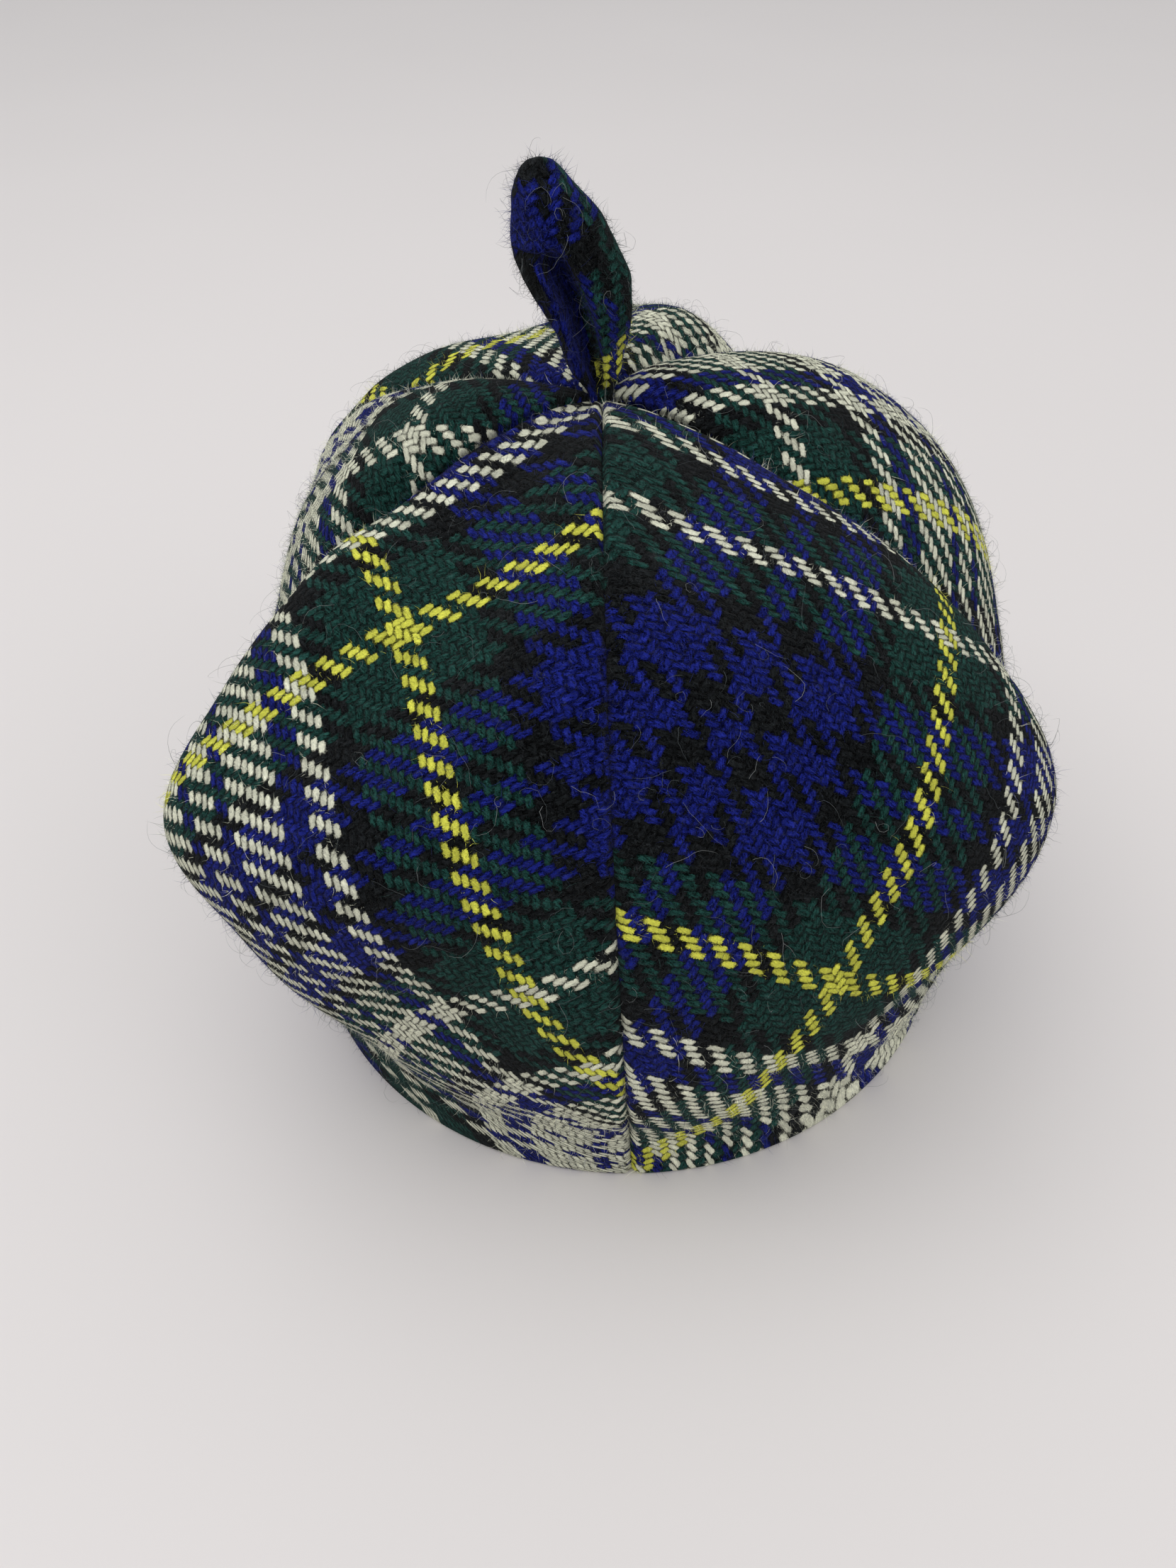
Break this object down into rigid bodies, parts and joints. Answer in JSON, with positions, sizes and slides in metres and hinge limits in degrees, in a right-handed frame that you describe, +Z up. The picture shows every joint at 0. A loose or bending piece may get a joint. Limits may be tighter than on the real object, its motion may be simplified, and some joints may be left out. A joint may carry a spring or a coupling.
{
  "type": "tam o shanter",
  "caption": "Soft tartan bonnet of sewn wool gores, puffed out over the head opening, with a folded tail of cloth on top.",
  "frame": {"origin": "middle of the base, over which the head opening is centred; the opening's edge lies in the plane z = 0", "axes": "+Z up out of the crown; the seam seen at the front faces -Y"},
  "size_m": [0.1847, 0.2119, 0.2066],
  "materials": {
    "tartan_front_left": "matte coarse wool twill",
    "tartan_front_right": "matte coarse wool twill",
    "tartan_side_left": "matte coarse wool twill",
    "tartan_side_right": "matte coarse wool twill",
    "tartan_back_left": "matte coarse wool twill",
    "tartan_back_right": "matte coarse wool twill",
    "hem_wool": "matte coarse wool twill",
    "tail_wool": "matte coarse wool twill"
  },
  "bodies": {
    "root": {"gore_front_left": "tartan_front_left", "gore_front_right": "tartan_front_right", "gore_side_left": "tartan_side_left", "gore_side_right": "tartan_side_right", "gore_back_left": "tartan_back_left", "gore_back_right": "tartan_back_right", "hem": "hem_wool", "tail": "tail_wool"}
  },
  "joints": []
}
